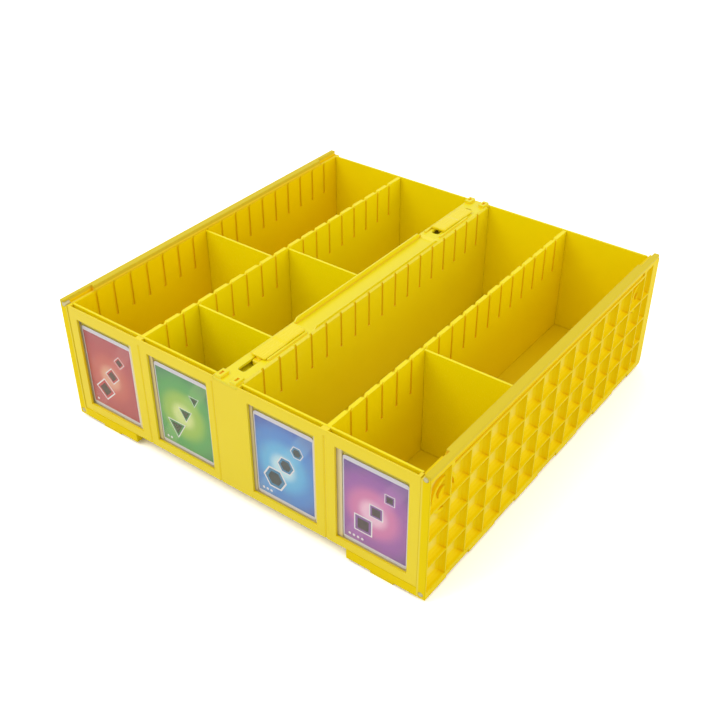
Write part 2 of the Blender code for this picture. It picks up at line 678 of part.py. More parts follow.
def front_window_panel(shop):
    """Make the front plate with its windows and the pockets behind them."""
    half_x = HALF_WIDTH - POST_WIDTH - SEAT_GAP
    back_y = INNER_WALL_FRONT_Y - SEAT_GAP
    panel = shop.block(
        "front_window_panel", (-half_x, half_x), (PANEL_FRONT_Y, back_y), (FLOOR_BOTTOM_Z, DECK_Z)
    )
    window_top = DECK_Z - WINDOW_TOP_MARGIN
    pockets = []
    windows = []
    for centre, shift in zip(ROW_CENTRES, WINDOW_SHIFTS):
        pocket_half = LABEL_POCKET_WIDTH / 2
        window = centre + shift
        pockets.append((
            (centre - pocket_half, centre + pocket_half),
            (PANEL_BACK_Y, back_y + CUT_OVERRUN),
            (LEDGE_Z, DECK_Z + CUT_OVERRUN),
        ))
        windows.append((
            (window - WINDOW_WIDTH / 2, window + WINDOW_WIDTH / 2),
            (PANEL_FRONT_Y - CUT_OVERRUN, PANEL_BACK_Y + POCKET_GAP / 2),
            (window_top - WINDOW_HEIGHT, window_top),
        ))
    shop.cut(panel, shop.blocks("label_pockets", pockets))
    shop.cut(panel, shop.blocks("label_windows", windows))

    lead = [
        (PANEL_BACK_Y - POCKET_LEAD_IN, DECK_Z + CUT_OVERRUN),
        (PANEL_BACK_Y - POCKET_LEAD_IN, DECK_Z),
        (PANEL_BACK_Y, DECK_Z - POCKET_LEAD_IN),
        (PANEL_BACK_Y + POCKET_GAP / 2, DECK_Z - POCKET_LEAD_IN),
        (PANEL_BACK_Y + POCKET_GAP / 2, DECK_Z + CUT_OVERRUN),
    ]
    for number, centre in enumerate(ROW_CENTRES):
        pocket_half = LABEL_POCKET_WIDTH / 2
        span = (centre - pocket_half, centre + pocket_half)
        shop.cut(panel, shop.prism(f"pocket_lead_in_{number}", [lead], "X", span))

    deck_notch = shop.block(
        "panel_deck_notch",
        (-DECK_HALF - SEAT_GAP, DECK_HALF + SEAT_GAP),
        (PANEL_FRONT_Y - CUT_OVERRUN, back_y + CUT_OVERRUN),
        (CHANNEL_FLOOR_Z - SEAT_GAP, DECK_Z + CUT_OVERRUN),
    )
    shop.cut(panel, deck_notch)

    groove_x = ROW_WALL_INNER_X + ROW_WALL_THICKNESS / 2
    groove_z = (FLOOR_BOTTOM_Z - CUT_OVERRUN, DECK_Z - PANEL_GROOVE_TOP_MARGIN)
    for number, x in enumerate((-groove_x, groove_x, -DECK_HALF - PANEL_GROOVE_WIDTH)):
        groove = [
            (x - PANEL_GROOVE_WIDTH / 2, PANEL_FRONT_Y - CUT_OVERRUN),
            (x - PANEL_GROOVE_WIDTH / 2, PANEL_FRONT_Y),
            (x, PANEL_FRONT_Y + PANEL_GROOVE_DEPTH),
            (x + PANEL_GROOVE_WIDTH / 2, PANEL_FRONT_Y),
            (x + PANEL_GROOVE_WIDTH / 2, PANEL_FRONT_Y - CUT_OVERRUN),
        ]
        shop.cut(panel, shop.prism(f"panel_groove_{number}", [groove], "Z", groove_z))
    return panel


def end_wall(shop, name, y_span):
    """Make a plain wall across the bin, low in the middle where the deck passes over it."""
    half_x = SIDE_INNER_X - SEAT_GAP
    notch_half = DECK_HALF + SEAT_GAP
    notch_z = CHANNEL_FLOOR_Z - SEAT_GAP
    outline = [
        (-half_x, STANDING_Z),
        (half_x, STANDING_Z),
        (half_x, DECK_Z),
        (notch_half, DECK_Z),
        (notch_half, notch_z),
        (-notch_half, notch_z),
        (-notch_half, DECK_Z),
        (-half_x, DECK_Z),
    ]
    return shop.prism(name, [outline], "Y", y_span)


def row_wall(shop, side, name):
    """Make a wall between two rows, with divider slots on both faces."""
    top = DECK_Z - ROW_WALL_DROP
    faces = (side * ROW_WALL_INNER_X, side * ROW_WALL_OUTER_X)
    wall = shop.block(name, ordered(*faces), (ROW_FRONT_Y, ROW_REAR_Y), (STANDING_Z, top))
    cut_slots(shop, wall, name + "_inner_slots", faces[0], side, slot_outline, top)
    cut_slots(shop, wall, name + "_outer_slots", faces[1], -side, slot_outline, top)
    nicks = []
    for y in slot_places():
        mouth = SLOT_WIDTH / 2 + SLOT_LEAD_IN
        nicks.append([
            (y - mouth, top + CUT_OVERRUN),
            (y - mouth, top),
            (y, top - SLOT_LEAD_IN),
            (y + mouth, top),
            (y + mouth, top + CUT_OVERRUN),
        ])
    span = ordered(faces[0] - side * CUT_OVERRUN, faces[1] + side * CUT_OVERRUN)
    shop.cut(wall, shop.prism(name + "_nicks", nicks, "X", span))
    return wall


def divider(shop, row, slot, name):
    """Make one removable divider, which hangs in two slots by its ears.

    Its origin is at the middle of its bottom edge.
    """
    half = ROW_WIDTH / 2 + SLOT_DEPTH - SEAT_GAP
    top = DECK_Z - DIVIDER_DROP - STANDING_Z
    y = slot_places()[slot]
    half_thick = DIVIDER_THICKNESS / 2
    edge = half_thick - DIVIDER_EDGE_ROUND
    profile = [(-half_thick, 0.0), (half_thick, 0.0)]
    profile += arc((edge, top - DIVIDER_EDGE_ROUND), DIVIDER_EDGE_ROUND, 0, 90, SMALL_ARC_STEPS)
    profile += arc((-edge, top - DIVIDER_EDGE_ROUND), DIVIDER_EDGE_ROUND, 90, 180, SMALL_ARC_STEPS)
    plate = shop.prism(name, [profile], "X", (-half, half))
    plate.location = (ROW_CENTRES[row], y, STANDING_Z)

    body_half = ROW_WIDTH / 2 - SEAT_GAP
    thick = (y - DIVIDER_THICKNESS, y + DIVIDER_THICKNESS)
    under_ear = (STANDING_Z - CUT_OVERRUN, SLOT_BOTTOM_Z + SEAT_GAP)
    reliefs = []
    for side in (-1, 1):
        near = ROW_CENTRES[row] + side * body_half
        reliefs.append((ordered(near, near + side * 2 * SLOT_DEPTH), thick, under_ear))
    shop.cut(plate, shop.blocks(name + "_ear_reliefs", reliefs))
    return plate


def eyelet_blocks(end):
    """List the eyelets' blocks and slots at the front (-1) or the rear (+1) of the deck."""
    edge = PANEL_FRONT_Y if end < 0 else REAR_WALL_BACK_Y
    near = edge - end * EYELET_EDGE_MARGIN
    y_span = ordered(near, near - end * EYELET_LENGTH)
    middle = (y_span[0] + y_span[1]) / 2
    blocks = []
    slots = []
    for side in (-1, 1):
        x = side * (DECK_HALF - EYELET_SIDE_MARGIN - EYELET_WIDTH / 2)
        blocks.append((
            (x - EYELET_WIDTH / 2, x + EYELET_WIDTH / 2),
            y_span,
            (DECK_Z - CHANNEL_DEPTH / 2, DECK_Z + EYELET_HEIGHT),
        ))
        slots.append((
            (x - EYELET_SLOT_WIDTH / 2, x + EYELET_SLOT_WIDTH / 2),
            (middle - EYELET_SLOT_LENGTH / 2, middle + EYELET_SLOT_LENGTH / 2),
            (DECK_Z + EYELET_HEIGHT / 2, DECK_Z + EYELET_HEIGHT + CUT_OVERRUN),
        ))
    return blocks, slots


def latch_slot_span(end):
    """Give the span along Y of the latch slot at the front (-1) or the rear (+1)."""
    outer = REAR_Y - LATCH_SLOT_MARGIN
    inner = outer - LATCH_SLOT_LENGTH
    if end > 0:
        outer -= REAR_SLOT_SHORTFALL
    return ordered(end * outer, end * inner)


def latch_guide_boxes(end):
    """List the two guides beside a latch slider."""
    inner = end * (REAR_Y - LATCH_SLOT_MARGIN - LATCH_SLOT_LENGTH - LATCH_PLATE_OVERHANG)
    y_span = ordered(inner, inner + end * GUIDE_LENGTH)
    boxes = []
    for side in (-1, 1):
        near = LATCH_PLATE_WIDTH / 2 + RUNNING_GAP
        x_span = ordered(side * near, side * (near + GUIDE_WIDTH))
        boxes.append((x_span, y_span, (DECK_Z - CHANNEL_DEPTH / 2, DECK_Z + GUIDE_HEIGHT)))
    return boxes


def latch_slot_outline(width, y_span):
    """Outline a latch slot, or what runs in it, with rounded corners, along Y."""
    radius = LATCH_SLOT_CORNER
    side = width / 2 - radius
    low = y_span[0] + radius
    high = y_span[1] - radius
    points = arc((side, high), radius, 0, 90)
    points += arc((-side, high), radius, 90, 180)
    points += arc((-side, low), radius, 180, 270)
    points += arc((side, low), radius, 270, 360)
    return points


def centre_spine(shop):
    """Make the hollow spine: two slotted walls, the deck, its channel, eyelets and latch seats."""
    inner = DECK_HALF - SPINE_WALL_THICKNESS
    top_half = DECK_HALF - SPINE_EDGE_WIDTH
    edge_z = DECK_Z - SPINE_EDGE_DROP
    profile = [
        (-DECK_HALF, STANDING_Z), (-inner, STANDING_Z), (-inner, SPINE_ROOF_Z),
        (inner, SPINE_ROOF_Z), (inner, STANDING_Z), (DECK_HALF, STANDING_Z),
        (DECK_HALF, edge_z), (top_half, DECK_Z), (-top_half, DECK_Z), (-DECK_HALF, edge_z),
    ]
    spine = shop.prism("centre_spine", [profile], "Y", (ROW_FRONT_Y, ROW_REAR_Y))
    ends = shop.blocks("deck_ends", [
        ((-DECK_HALF, DECK_HALF), (PANEL_FRONT_Y, ROW_FRONT_Y + CUT_OVERRUN),
         (CHANNEL_FLOOR_Z, DECK_Z)),
        ((-DECK_HALF, DECK_HALF), (ROW_REAR_Y - CUT_OVERRUN, REAR_WALL_BACK_Y),
         (CHANNEL_FLOOR_Z, DECK_Z)),
    ])
    shop.join(spine, ends)

    channel_end = REAR_Y - CHANNEL_END_MARGIN
    rail_top = DECK_Z + CHANNEL_RAIL_RISE
    rail_outline = [
        (-channel_end, CHANNEL_FLOOR_Z),
        (channel_end, CHANNEL_FLOOR_Z),
        (channel_end, DECK_Z),
        (channel_end - CHANNEL_RAIL_RISE, rail_top),
        (CHANNEL_RAIL_RISE - channel_end, rail_top),
        (-channel_end, DECK_Z),
    ]
    for side, label in ((-1, "left"), (1, "right")):
        span = ordered(side * top_half, side * (top_half - CHANNEL_RAIL_WIDTH))
        shop.join(spine, shop.prism(f"{label}_channel_rail", [rail_outline], "X", span))

    channel_half = top_half - CHANNEL_RAIL_WIDTH
    slope = channel_end + CHANNEL_DEPTH
    channel = [
        (-channel_end, CHANNEL_FLOOR_Z),
        (channel_end, CHANNEL_FLOOR_Z),
        (slope, DECK_Z),
        (slope, rail_top + CUT_OVERRUN),
        (-slope, rail_top + CUT_OVERRUN),
        (-slope, DECK_Z),
    ]
    shop.cut(spine, shop.prism("channel", [channel], "X", (-channel_half, channel_half)))

    seats = []
    recesses = []
    seat_half = inner + SPINE_WALL_THICKNESS / 2
    seat_z = DECK_Z - LATCH_SEAT_DEPTH
    for end in (-1, 1):
        low, high = latch_slot_span(end)
        low -= LATCH_RECESS_MARGIN
        high += LATCH_RECESS_MARGIN
        seats.append((
            (-seat_half, seat_half),
            (low - LATCH_SEAT_WALL, high + LATCH_SEAT_WALL),
            (seat_z - LATCH_SEAT_WALL, SPINE_ROOF_Z + CHANNEL_FLOOR_THICKNESS / 2),
        ))
        recesses.append(((-inner, inner), (low, high), (seat_z, DECK_Z - LATCH_DECK_THICKNESS)))
    shop.join(spine, shop.blocks("latch_seats", seats))
    shop.cut(spine, shop.blocks("latch_recesses", recesses))

    guides = latch_guide_boxes(-1) + latch_guide_boxes(1)
    shop.join(spine, shop.blocks("latch_guides", guides))
    front_eyelets, front_slots = eyelet_blocks(-1)
    rear_eyelets, rear_slots = eyelet_blocks(1)
    shop.join(spine, shop.blocks("lid_eyelets", front_eyelets + rear_eyelets))
    shop.cut(spine, shop.blocks("eyelet_slots", front_slots + rear_slots))
    slots = [latch_slot_outline(LATCH_SLOT_WIDTH, latch_slot_span(end)) for end in (-1, 1)]
    slot_span = (DECK_Z - LATCH_SEAT_DEPTH / 2, DECK_Z + CUT_OVERRUN)
    shop.cut(spine, shop.prism("latch_slots", slots, "Z", slot_span))

    for side, label in ((-1, "left"), (1, "right")):
        name = f"spine_{label}_slots"
        cut_slots(shop, spine, name, side * DECK_HALF, -side, plain_slot_outline, rail_top)
    return spine


def latch_slider(shop, end, name, travel):
    """Make a latch slider with its tongue and barbs, moved outward by a travel.

    Its origin is on the deck, at the inner end of its plate.
    """
    length = LATCH_PLATE_LENGTH
    step_start = length * (1 - LATCH_STEP_END_SHARE)
    step_end = length * (1 - LATCH_STEP_START_SHARE)
    low = LATCH_LOW_HEIGHT
    high = LATCH_HIGH_HEIGHT
    profile = [
        (0.0, RUNNING_GAP),
        (length, RUNNING_GAP),
        (length, low),
        (step_end, low),
        (step_start, high),
        (0.0, high),
    ]
    profile = [(end * y, z) for y, z in profile]
    half = LATCH_PLATE_WIDTH / 2
    slider = shop.prism(name, [profile], "X", (-half, half))
    bevel = slider.modifiers.new("rounded_edges", "BEVEL")
    bevel.width = LATCH_EDGE_ROUND
    bevel.segments = LATCH_ROUND_STEPS
    bevel.limit_method = "ANGLE"
    bevel.angle_limit = LATCH_ROUND_ANGLE

    stem_half = LATCH_SLOT_WIDTH / 2 - RUNNING_GAP
    stem_start = LATCH_PLATE_OVERHANG + RUNNING_GAP
    stem_length = length - LATCH_PLATE_OVERHANG + LATCH_TONGUE_LENGTH - RUNNING_GAP
    stem_end = stem_start + stem_length
    barb_top = -LATCH_DECK_THICKNESS - RUNNING_GAP
    barb_bottom = barb_top - LATCH_BARB_HEIGHT
    stem_span = ordered(end * stem_start, end * (length - RUNNING_GAP))
    stem_outline = latch_slot_outline(2 * stem_half, stem_span)
    stem = shop.prism(name + "_stem", [stem_outline], "Z", (barb_bottom, low / 2))
    tongue_span = ordered(end * (length - 2 * LATCH_TONGUE_LENGTH), end * stem_end)
    tongue_outline = latch_slot_outline(2 * stem_half, tongue_span)
    tongue_z = (-LATCH_TONGUE_DROP - LATCH_TONGUE_HEIGHT, -LATCH_TONGUE_DROP)
    tongue = shop.prism(name + "_tongue", [tongue_outline], "Z", tongue_z)
    barb_half = stem_half + LATCH_BARB_OVERHANG
    barb_starts = (stem_start + stem_half, length - LATCH_TONGUE_LENGTH - LATCH_BARB_LENGTH)
    barbs = shop.blocks(name + "_barbs", [
        ((-barb_half, barb_half), ordered(end * start, end * (start + LATCH_BARB_LENGTH)),
         (barb_bottom, barb_top))
        for start in barb_starts
    ])
    shop.join(slider, stem)
    shop.join(slider, tongue)
    shop.join(slider, barbs)
    inner = end * (REAR_Y - LATCH_SLOT_MARGIN - LATCH_SLOT_LENGTH - LATCH_PLATE_OVERHANG)
    place = Vector((0.0, inner + end * travel, DECK_Z))
    slider.location = place
    for tool in (stem, tongue, barbs):
        tool.location = tool.location + place
    return slider


def label_sleeve(shop, centre, name):
    """Make a clear sleeve, open at its top, that stands in a pocket behind a window."""
    y_low = SLEEVE_Y - SLEEVE_THICKNESS / 2
    top = SLEEVE_BOTTOM_Z + SLEEVE_HEIGHT
    sleeve = shop.block(
        name, (centre - SLEEVE_WIDTH / 2, centre + SLEEVE_WIDTH / 2),
        (y_low, y_low + SLEEVE_THICKNESS), (SLEEVE_BOTTOM_Z, top),
    )
    half = SLEEVE_WIDTH / 2 - SLEEVE_BORDER
    pocket = shop.block(
        name + "_pocket", (centre - half, centre + half),
        (y_low + SLEEVE_SHEET, y_low + SLEEVE_THICKNESS - SLEEVE_SHEET),
        (SLEEVE_BOTTOM_Z + SLEEVE_BORDER, top + CUT_OVERRUN),
    )
    shop.cut(sleeve, pocket)
    return sleeve


def label_card(shop, centre, name):
    """Make a label card with rounded corners, standing inside its sleeve."""
    bottom = SLEEVE_BOTTOM_Z + SLEEVE_BORDER + SEAT_GAP
    half = CARD_WIDTH / 2 - CARD_CORNER_RADIUS
    low = CARD_CORNER_RADIUS
    high = CARD_HEIGHT - CARD_CORNER_RADIUS
    corners = ((half, low, -90), (half, high, 0), (-half, high, 90), (-half, low, 180))
    outline = []
    for x, z, start in corners:
        outline += arc((x, z), CARD_CORNER_RADIUS, start, start + 90, SMALL_ARC_STEPS)
    span = (-CARD_THICKNESS / 2, CARD_THICKNESS / 2)
    card = shop.prism(name, [outline], "Y", span)
    card.location = (centre, SLEEVE_Y, bottom)
    return card


def main():
    """Build the whole bin."""
    clear_scene()
    shop = Shop()
    yellow = plastic("bin_yellow", YELLOW, BIN_ROUGHNESS)
    cream = plastic("pin_cream", CREAM, PIN_ROUGHNESS)
    clear = plastic("sleeve_clear", CLEAR, SLEEVE_ROUGHNESS)

    body = [
        side_panel(shop, -1, "left_side_panel"),
        side_panel(shop, 1, "right_side_panel"),
        base_floor(shop),
        front_window_panel(shop),
        end_wall(shop, "front_inner_wall", (INNER_WALL_FRONT_Y, INNER_WALL_BACK_Y)),
        end_wall(shop, "rear_wall", (REAR_WALL_FRONT_Y, REAR_WALL_BACK_Y)),
        row_wall(shop, -1, "left_row_wall"),
        row_wall(shop, 1, "right_row_wall"),
        centre_spine(shop),
        latch_slider(shop, -1, "front_latch_slider", 0.0),
        latch_slider(shop, 1, "rear_latch_slider", REAR_LATCH_TRAVEL),
    ]
    for number, (row, slot) in enumerate(DIVIDER_PLACES, start=1):
        body.append(divider(shop, row, slot, f"divider_{number}"))
    for part in body:
        part.data.materials.append(yellow)

    for side, label in ((-1, "left"), (1, "right")):
        for height, level in pin_levels():
            pin = corner_pin(shop, side, level, f"{height}_{label}_pin")
            pin.data.shade_smooth()
            pin.data.set_sharp_from_angle(angle=SMOOTH_ANGLE)
            pin.data.materials.append(cream)

    label_centres = [row + shift for row, shift in zip(ROW_CENTRES, SLEEVE_SHIFTS)]
    for number, centre in enumerate(label_centres, start=1):
        sleeve = label_sleeve(shop, centre, f"label_sleeve_{number}")
        sleeve.data.materials.append(clear)
        card = label_card(shop, centre, f"label_card_{number}")
        paper = plastic(f"label_paper_{number}", LABEL_COLOURS[number - 1], PAPER_ROUGHNESS)
        card.data.materials.append(paper)


main()
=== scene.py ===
"""Finishes, labels and studio for a four-row card storage bin.

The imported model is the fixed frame: its walls, dividers, latches, sleeves and cards keep their
meshes and take node-based finishes here. The printed marks on the label cards are pieces of this
script. Lengths are in metres, X runs to the right, Y to the rear and Z up, as in the frame.
"""

import logging
import math
from dataclasses import dataclass
from enum import Enum

import bpy
from mathutils import Euler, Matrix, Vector


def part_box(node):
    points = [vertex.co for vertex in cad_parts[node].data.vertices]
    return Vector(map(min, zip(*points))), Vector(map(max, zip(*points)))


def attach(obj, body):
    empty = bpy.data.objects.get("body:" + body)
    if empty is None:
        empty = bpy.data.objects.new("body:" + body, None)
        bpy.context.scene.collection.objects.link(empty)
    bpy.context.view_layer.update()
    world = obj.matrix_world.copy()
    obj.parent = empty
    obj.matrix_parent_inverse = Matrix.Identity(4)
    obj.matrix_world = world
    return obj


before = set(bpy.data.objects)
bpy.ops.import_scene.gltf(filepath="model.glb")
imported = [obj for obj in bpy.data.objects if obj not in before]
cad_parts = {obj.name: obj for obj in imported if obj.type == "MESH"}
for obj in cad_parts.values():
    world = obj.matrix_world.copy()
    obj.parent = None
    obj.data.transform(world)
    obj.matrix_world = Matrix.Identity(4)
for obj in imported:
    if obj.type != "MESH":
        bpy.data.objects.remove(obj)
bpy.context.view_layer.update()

LOG = logging.getLogger("card_bin")
MILLIMETRE = 0.001
ROUND_SIDES = 24

# The sRGB transfer curve: its straight part's end and slope, and its curved part.
BYTE_MAX = 255
SRGB_KNEE = 0.04045
SRGB_SLOPE = 12.92
SRGB_OFFSET = 0.055
SRGB_POWER = 2.4

# How many finer layers a noise pattern has.
PLAIN_DETAIL = 1.0
SOFT_DETAIL = 2.0
FINE_DETAIL = 3.0

Colour = tuple[float, float, float, float]
Tree = bpy.types.NodeTree
Socket = bpy.types.NodeSocket


def linear(code: str, alpha: float = 1.0) -> Colour:
    """Turn an sRGB hex colour into a linear one.

    Args:
        code: six hex digits, with or without a leading #.
        alpha: the colour's alpha value.

    Returns:
        The red, green, blue and alpha values that a colour socket takes.
    """
    digits = code.lstrip("#")
    channels = []
    for start in (0, 2, 4):
        value = int(digits[start:start + 2], 16) / BYTE_MAX
        if value <= SRGB_KNEE:
            channels.append(value / SRGB_SLOPE)
        else:
            channels.append(((value + SRGB_OFFSET) / (1 + SRGB_OFFSET)) ** SRGB_POWER)
    return (channels[0], channels[1], channels[2], alpha)


def per_metre(size_mm: float) -> float:
    """Give the texture scale at which one feature has a real size.

    Args:
        size_mm: the feature's size in millimetres.

    Returns:
        The number of features in a metre.
    """
    return 1.0 / (size_mm * MILLIMETRE)


def add(
    tree: Tree, kind: str, sockets: dict[str | int, object] | None = None, **settings: object,
) -> bpy.types.Node:
    """Add one node with its settings and links.

    Args:
        tree: the tree that gets the node.
        kind: the node's type.
        sockets: for each input, by name or number, its value or the output that feeds it.
        settings: the node's own properties, by name.

    Returns:
        The new node.
    """
    node = tree.nodes.new(kind)
    for name, value in settings.items():
        setattr(node, name, value)
    for name, value in (sockets or {}).items():
        if isinstance(value, Socket):
            tree.links.new(value, node.inputs[name])
        else:
            node.inputs[name].default_value = value
    return node


def new_material(name: str) -> tuple[bpy.types.Material, Tree, bpy.types.Node]:
    """Make a material with a bare Principled shader.

    Args:
        name: the material's name.

    Returns:
        The material, its node tree and its Principled node.
    """
    material = bpy.data.materials.new(name)
    material.use_nodes = True
    tree = material.node_tree
    tree.nodes.clear()
    shader = add(tree, "ShaderNodeBsdfPrincipled")
    add(tree, "ShaderNodeOutputMaterial", {"Surface": shader.outputs[0]})
    return material, tree, shader


def own_place(tree: Tree, centre: Vector = Vector()) -> Socket:
    """Give a surface point's place, in metres from a centre on the piece.

    Args:
        tree: the material's tree.
        centre: the place that reads as zero.

    Returns:
        The vector output.
    """
    place = add(tree, "ShaderNodeTexCoord").outputs["Object"]
    sockets = {"Vector": place, "Location": -centre}
    return add(tree, "ShaderNodeMapping", sockets, vector_type="POINT").outputs[0]


@dataclass(frozen=True)
class MouldedStyrene:
    """High-impact polystyrene, injection moulded in a satin spark-eroded tool.

    It looks clean and evenly coloured, with a soft sheen, faint flow clouds a few centimetres
    across, a skin grain of a few tenths of a millimetre and small rounded edges that catch light.
    Where they lie open, the rounded edges are also painted paler: a painted highlight.
    The grain is drawn coarser than the real 0.1 mm so that it shows. Where cards, lids and thumbs
    rub it, fine scuffs run along the bin, paler and duller than the rest. The red in the colour
    is nearly full, so that light which bounces about inside turns orange. Slots and tight
    corners, found by an occlusion test, are painted a deeper orange: painted shade, standing in
    for light that bounces about in them and seeps through the thin plastic. Above a height,
    a rail can be deeper in colour than the rest. The floors of the side panels' pockets, which
    all lie at one distance from the bin's middle, can be painted paler: a painted reflection
    of the white floor.
    """

    name: str
    base: str = "#FCE408"
    cloud: str = "#F8DC02"
    # Painted highlight colour for open rounded edges; scuffs take it too, as real wear.
    edge: str = "#FFEE48"
    painted_highlight_share: float = 0.6
    roughness: float = 0.33
    roughness_spread: float = 0.07
    gloss: float = 0.4
    ior: float = 1.57
    cloud_mm: float = 55.0
    grain_mm: float = 0.6
    grain_depth_mm: float = 0.012
    ripple_mm: float = 14.0
    ripple_depth_mm: float = 0.03
    edge_mm: float = 0.5
    bevel_samples: int = 6
    edge_range: tuple[float, float] = (1.0, 0.8)
    scuff_mm: tuple[float, float, float] = (0.8, 16.0, 3.0)
    scuff_range: tuple[float, float] = (0.56, 0.74)
    scuff_share: float = 0.12
    # Painted shade: slots and tight corners are painted this deeper orange, for light bouncing in
    # them.
    crevice_painted_shade: str = "#FFA800"
    crevice_mm: float = 3.0
    crevice_range: tuple[float, float] = (0.75, 0.3)
    painted_shade_share: float = 0.75
    crevice_samples: int = 4
    rail: str = "#E2C934"
    rail_share: float = 0.0
    rail_mm: tuple[float, float] = (129.6, 130.4)
    # Painted reflection of the white floor on the side panels' pocket floors.
    painted_pocket_reflection: str = "#F2EC8C"
    painted_reflection_share: float = 0.0
    pocket_floor_mm: float = 193.5
    pocket_fade_mm: float = 1.2

    def material(self) -> bpy.types.Material:
        """Build the node material."""
        material, tree, shader = new_material(self.name)
        place = own_place(tree)
        rounded = add(tree, "ShaderNodeBevel", {
            "Radius": self.edge_mm * MILLIMETRE,
        }, samples=self.bevel_samples).outputs[0]
        scuffs = self.scuffs(tree, place)
        seen = self.seen_colour(tree, self.body_colour(tree, place), rounded, scuffs)
        tree.links.new(seen, shader.inputs["Base Color"])
        self.texture_skin(tree, shader, place, rounded, scuffs)
        shader.inputs["IOR"].default_value = self.ior
        shader.inputs["Specular IOR Level"].default_value = self.gloss
        return material

    def body_colour(self, tree: Tree, place: Socket) -> Socket:
        """Give the colour: clouds, the rail, and a painted reflection on the pocket floors.

        Args:
            tree: the material's tree.
            place: a surface point's place.

        Returns:
            The colour output.
        """
        clouds = add(tree, "ShaderNodeTexNoise", {
            "Vector": place, "Scale": per_metre(self.cloud_mm), "Detail": SOFT_DETAIL,
        }).outputs[0]
        clouded = add(tree, "ShaderNodeMix", {
            "Factor": clouds, "A": linear(self.base), "B": linear(self.cloud),
        }, data_type="RGBA").outputs["Result"]
        parts = add(tree, "ShaderNodeSeparateXYZ", {0: place}).outputs
        across = add(tree, "ShaderNodeMath", {0: parts["X"]}, operation="ABSOLUTE").outputs[0]
        beyond = add(tree, "ShaderNodeMath", {
            0: across, 1: self.pocket_floor_mm * MILLIMETRE,
        }, operation="SUBTRACT").outputs[0]
        from_floor = add(tree, "ShaderNodeMath", {0: beyond}, operation="ABSOLUTE").outputs[0]
        # Painted reflection: the pocket floors, at one distance from the middle, are painted
        # paler.
        painted_reflection_mask = add(tree, "ShaderNodeMapRange", {
            "Value": from_floor, "From Min": 0.0, "From Max": self.pocket_fade_mm * MILLIMETRE,
            "To Min": self.painted_reflection_share, "To Max": 0.0,
        }).outputs[0]
        with_painted_reflection = add(tree, "ShaderNodeMix", {
            "Factor": painted_reflection_mask, "A": clouded, "B": linear(self.painted_pocket_reflection),
        }, data_type="RGBA").outputs["Result"]
        on_rail = add(tree, "ShaderNodeMapRange", {
            "Value": parts["Z"], "From Min": self.rail_mm[0] * MILLIMETRE,
            "From Max": self.rail_mm[1] * MILLIMETRE, "To Min": 0.0, "To Max": self.rail_share,
        }).outputs[0]
        return add(tree, "ShaderNodeMix", {
            "Factor": on_rail, "A": with_painted_reflection, "B": linear(self.rail),
        }, data_type="RGBA").outputs["Result"]

    def scuffs(self, tree: Tree, place: Socket) -> Socket:
        """Give how strongly the fine scuffs show at a point.

        Args:
            tree: the material's tree.
            place: a surface point's place.

        Returns:
            The share of scuffing.
        """
        stretched = add(tree, "ShaderNodeMapping", {
            "Vector": place, "Scale": Vector([per_metre(size) for size in self.scuff_mm]),
        }).outputs[0]
        streaks = add(tree, "ShaderNodeTexNoise", {
            "Vector": stretched, "Scale": 1.0, "Detail": FINE_DETAIL,
        }).outputs[0]
        return add(tree, "ShaderNodeMapRange", {
            "Value": streaks, "From Min": self.scuff_range[0], "From Max": self.scuff_range[1],
            "To Min": 0.0, "To Max": self.scuff_share,
        }).outputs[0]

    def seen_colour(self, tree: Tree, body: Socket, rounded: Socket, scuffs: Socket) -> Socket:
        """Add painted shade in crevices, and painted edge highlights and scuffs in the open.

        Args:
            tree: the material's tree.
            body: the plastic's colour, with the painted reflection on pocket floors.
            rounded: the normal with rounded edges.
            scuffs: the share of scuffing.

        Returns:
            The colour output.
        """
        # An occlusion test marks crevices for painted shade, and keeps painted highlights and
        # scuffs to the open.
        openness = add(tree, "ShaderNodeAmbientOcclusion", {
            "Distance": self.crevice_mm * MILLIMETRE,
        }, samples=self.crevice_samples, only_local=True).outputs["AO"]
        painted_crevice_shade_mask = add(tree, "ShaderNodeMapRange", {
            "Value": openness, "From Min": self.crevice_range[0],
            "From Max": self.crevice_range[1], "To Min": 0.0, "To Max": self.painted_shade_share,
        }).outputs[0]
        # Painted shade: the deeper orange is mixed in where the occlusion test finds a crevice.
        deep = add(tree, "ShaderNodeMix", {
            "Factor": painted_crevice_shade_mask, "A": body, "B": linear(self.crevice_painted_shade),
        }, data_type="RGBA").outputs["Result"]
        # Painted highlight: where the rounded normal turns away from the flat one, at an edge.
        flat = add(tree, "ShaderNodeNewGeometry").outputs["True Normal"]
        agreement = add(tree, "ShaderNodeVectorMath", {
            0: rounded, 1: flat,
        }, operation="DOT_PRODUCT").outputs["Value"]
        edge = add(tree, "ShaderNodeMapRange", {
            "Value": agreement, "From Min": self.edge_range[0], "From Max": self.edge_range[1],
            "To Min": 0.0, "To Max": self.painted_highlight_share,
        }).outputs[0]
        highlight_and_scuffs = add(tree, "ShaderNodeMath", {0: edge, 1: scuffs}, operation="MAXIMUM").outputs[0]
        open_highlight_and_scuffs = add(tree, "ShaderNodeMath", {
            0: highlight_and_scuffs, 1: openness,
        }, operation="MULTIPLY").outputs[0]
        return add(tree, "ShaderNodeMix", {
            "Factor": open_highlight_and_scuffs, "A": deep, "B": linear(self.edge),
        }, data_type="RGBA").outputs["Result"]

